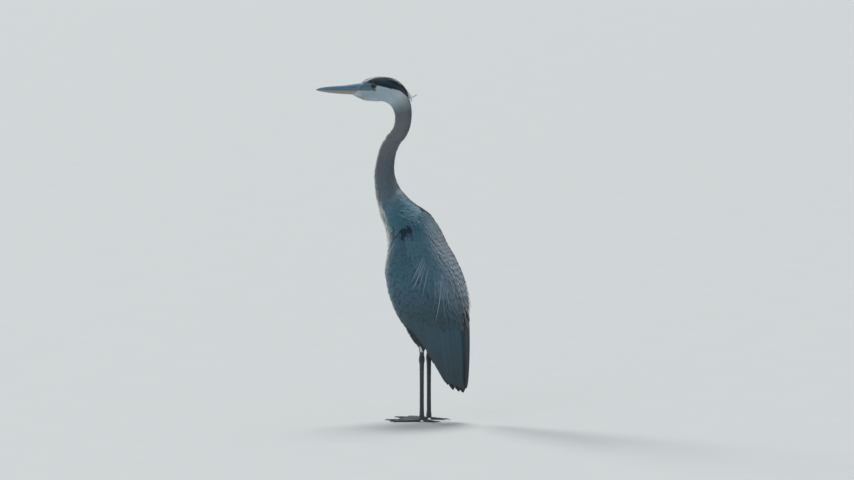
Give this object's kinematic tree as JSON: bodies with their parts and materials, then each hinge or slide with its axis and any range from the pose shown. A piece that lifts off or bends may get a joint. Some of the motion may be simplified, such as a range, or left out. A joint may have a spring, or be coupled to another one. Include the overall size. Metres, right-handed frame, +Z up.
{
  "type": "great blue heron",
  "caption": "Great blue heron standing upright and alert with folded wings, its S-curved neck raised and its head turned a little to its left.",
  "frame": {"origin": "on the floor, under the middle of the outline", "axes": "the bird faces -X, its left side is -Y, and +Z is up"},
  "size_m": [0.4452, 0.179, 1],
  "materials": {
    "slate": "slate blue-gray body feathers",
    "neck": "gray neck feathers",
    "white": "white feathers",
    "black": "black plumes",
    "plume": "pale gray plumes",
    "flight": "dark gray flight feathers",
    "primary": "blackish primaries",
    "thigh": "dull chestnut feathers",
    "upper_bill": "gray horn, satin",
    "lower_bill": "yellowish horn, satin",
    "eye": "yellow iris, wet gloss",
    "leg": "scaled skin, dull",
    "claw": "dark horn, satin"
  },
  "bodies": {
    "root": {"head": "white", "bill_upper": "upper_bill", "bill_lower": "lower_bill", "eye_left": "eye", "eye_right": "eye", "crown_plume_left": "black", "crown_plume_right": "black", "neck_upper": "neck", "neck_bend": "neck", "neck_middle": "neck", "neck_base": "neck", "neck_plumes": "white", "trunk": "slate", "mantle": "slate", "tail": "flight", "under_tail_coverts": "white", "scapular_plumes_left": "plume", "wing_coverts_left": "slate", "secondaries_left": "flight", "primaries_left": "primary", "thigh_left": "thigh", "shank_left": "leg", "hock_left": "leg", "tarsus_left": "leg", "ankle_left": "leg", "toe_inner_left": "leg", "claw_inner_left": "claw", "toe_middle_left": "leg", "claw_middle_left": "claw", "toe_outer_left": "leg", "claw_outer_left": "claw", "toe_hind_left": "leg", "claw_hind_left": "claw", "scapular_plumes_right": "plume", "wing_coverts_right": "slate", "secondaries_right": "flight", "primaries_right": "primary", "thigh_right": "thigh", "shank_right": "leg", "hock_right": "leg", "tarsus_right": "leg", "ankle_right": "leg", "toe_inner_right": "leg", "claw_inner_right": "claw", "toe_middle_right": "leg", "claw_middle_right": "claw", "toe_outer_right": "leg", "claw_outer_right": "claw", "toe_hind_right": "leg", "claw_hind_right": "claw"}
  },
  "joints": []
}
